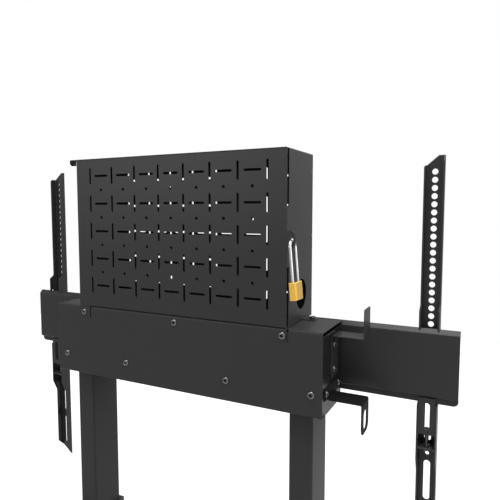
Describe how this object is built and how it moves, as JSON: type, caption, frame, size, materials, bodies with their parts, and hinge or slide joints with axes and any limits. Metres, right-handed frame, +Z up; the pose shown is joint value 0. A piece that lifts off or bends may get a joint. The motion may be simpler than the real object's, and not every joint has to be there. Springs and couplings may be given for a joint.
{
  "type": "motorized tv lift mount",
  "caption": "Twin-column motorised lift for a heavy screen: wall rails, telescoping columns, covered drive, crossbeam with lockable screen arms and a padlocked equipment box.",
  "frame": {"origin": "centre of the wall bolt pattern, on the wall plane", "axes": "+Z up, +Y away from the wall toward the screen, +X to the right seen from the wall side"},
  "size_m": [0.89, 0.1661, 1.357],
  "materials": {
    "anthracite_coat": "fine matte powder coat",
    "black_coat": "fine satin powder coat",
    "zinc_steel": "bright zinc",
    "bright_chrome": "polished",
    "lock_brass": "fine brushed",
    "cast_housing": "cast",
    "black_plastic": "matte",
    "white_nylon": "smooth"
  },
  "bodies": {
    "base": {"wall_rail_upper": "anthracite_coat", "wall_rail_lower": "anthracite_coat", "rail_bolts": "zinc_steel", "outer_tube_left": "anthracite_coat", "outer_tube_right": "anthracite_coat", "base_plate_left": "black_coat", "base_plate_right": "black_coat", "nut_tube_left": "zinc_steel", "nut_tube_right": "zinc_steel", "spindle_nut_left": "white_nylon", "spindle_nut_right": "white_nylon", "glide_pads_left": "white_nylon", "glide_pads_right": "white_nylon", "tube_collar_left": "black_plastic", "tube_collar_right": "black_plastic"},
    "lift": {"inner_tube_left": "anthracite_coat", "inner_tube_right": "anthracite_coat", "glide_shoes_left": "white_nylon", "glide_shoes_right": "white_nylon", "column_head_left": "black_coat", "column_head_right": "black_coat", "gearbox_left": "cast_housing", "gearbox_right": "cast_housing", "spindle_bearing_left": "zinc_steel", "spindle_bearing_right": "zinc_steel", "motor_left": "cast_housing", "motor_right": "cast_housing", "end_plate_left": "anthracite_coat", "end_plate_right": "anthracite_coat", "cross_channel": "black_coat", "crossbeam": "anthracite_coat", "cover": "anthracite_coat", "cover_screws": "zinc_steel", "frame_bolts": "zinc_steel", "upper_cable_hook": "anthracite_coat", "lower_cable_hook": "black_coat", "hook_screws": "zinc_steel", "control_box": "black_plastic", "mains_inlet": "black_plastic", "box_shell": "anthracite_coat", "box_back_panel": "anthracite_coat", "box_rivets": "zinc_steel", "box_bolts": "zinc_steel", "box_thumb_screw": "zinc_steel", "hinge_fixed_leaves": "zinc_steel", "hinge_pins": "zinc_steel"},
    "spindle_left": {"spindle_left": "zinc_steel"},
    "spindle_right": {"spindle_right": "zinc_steel"},
    "door": {"door_panel": "anthracite_coat", "hinge_door_leaves": "zinc_steel"},
    "shackle": {"padlock_shackle": "bright_chrome"},
    "lock_body": {"padlock_body": "lock_brass"},
    "lock_plug": {"padlock_plug": "lock_brass"},
    "arm_left": {"screen_arm_left": "anthracite_coat"},
    "lock_plate_left": {"lock_plate_left": "zinc_steel"},
    "lock_screw_left": {"lock_screw_left": "zinc_steel"},
    "arm_right": {"screen_arm_right": "anthracite_coat"},
    "lock_plate_right": {"lock_plate_right": "zinc_steel"},
    "lock_screw_right": {"lock_screw_right": "zinc_steel"}
  },
  "joints": [
    {"name": "lift_stroke", "type": "slide", "parent": "base", "child": "lift", "axis": [0, 0, 1], "range_m": [-0.29, 0.21]},
    {"name": "spindle_turn_left", "type": "hinge", "parent": "lift", "child": "spindle_left", "pos_m": [-0.225, 0.0882, 0.7], "axis": [0, 0, 1], "range_deg": [-10441, 7561]},
    {"name": "spindle_turn_right", "type": "hinge", "parent": "lift", "child": "spindle_right", "pos_m": [0.225, 0.0882, 0.7], "axis": [0, 0, 1], "range_deg": [-10441, 7561]},
    {"name": "door_swing", "type": "hinge", "parent": "lift", "child": "door", "pos_m": [-0.206, 0.0344, 0.8855], "axis": [0, 0, -1], "range_deg": [0, 90]},
    {"name": "padlock_swing", "type": "hinge", "parent": "door", "child": "shackle", "pos_m": [0.217, 0.0341, 0.88345], "axis": [0, -1, 0], "range_deg": [-4, 70]},
    {"name": "padlock_release", "type": "slide", "parent": "shackle", "child": "lock_body", "axis": [0.0872, 0, -0.9962], "range_m": [0, 0.013]},
    {"name": "key_turn", "type": "hinge", "parent": "lock_body", "child": "lock_plug", "pos_m": [0.22427, 0.0341, 0.80032], "axis": [-0.0872, 0, 0.9962], "range_deg": [0, 90]},
    {"name": "arm_slide_left", "type": "slide", "parent": "lift", "child": "arm_left", "axis": [-1, 0, 0], "range_m": [-0.1, 0.028]},
    {"name": "lock_slide_left", "type": "slide", "parent": "arm_left", "child": "lock_plate_left", "axis": [0, 0, -1], "range_m": [0, 0.012]},
    {"name": "lock_turn_left", "type": "hinge", "parent": "arm_left", "child": "lock_screw_left", "pos_m": [-0.4, 0.152, 0.56], "axis": [0, 0, 1], "range_deg": [0, 4321]},
    {"name": "arm_slide_right", "type": "slide", "parent": "lift", "child": "arm_right", "axis": [1, 0, 0], "range_m": [-0.1, 0.028]},
    {"name": "lock_slide_right", "type": "slide", "parent": "arm_right", "child": "lock_plate_right", "axis": [0, 0, -1], "range_m": [0, 0.012]},
    {"name": "lock_turn_right", "type": "hinge", "parent": "arm_right", "child": "lock_screw_right", "pos_m": [0.4, 0.152, 0.56], "axis": [0, 0, 1], "range_deg": [0, 4321]}
  ],
  "couplings": [
    {"joint": "spindle_turn_left", "follows": "lift_stroke", "rad_per_m": 628.32},
    {"joint": "spindle_turn_right", "follows": "lift_stroke", "rad_per_m": 628.32},
    {"joint": "lock_turn_left", "follows": "lock_slide_left", "rad_per_m": 6283.2},
    {"joint": "lock_turn_right", "follows": "lock_slide_right", "rad_per_m": 6283.2}
  ]
}
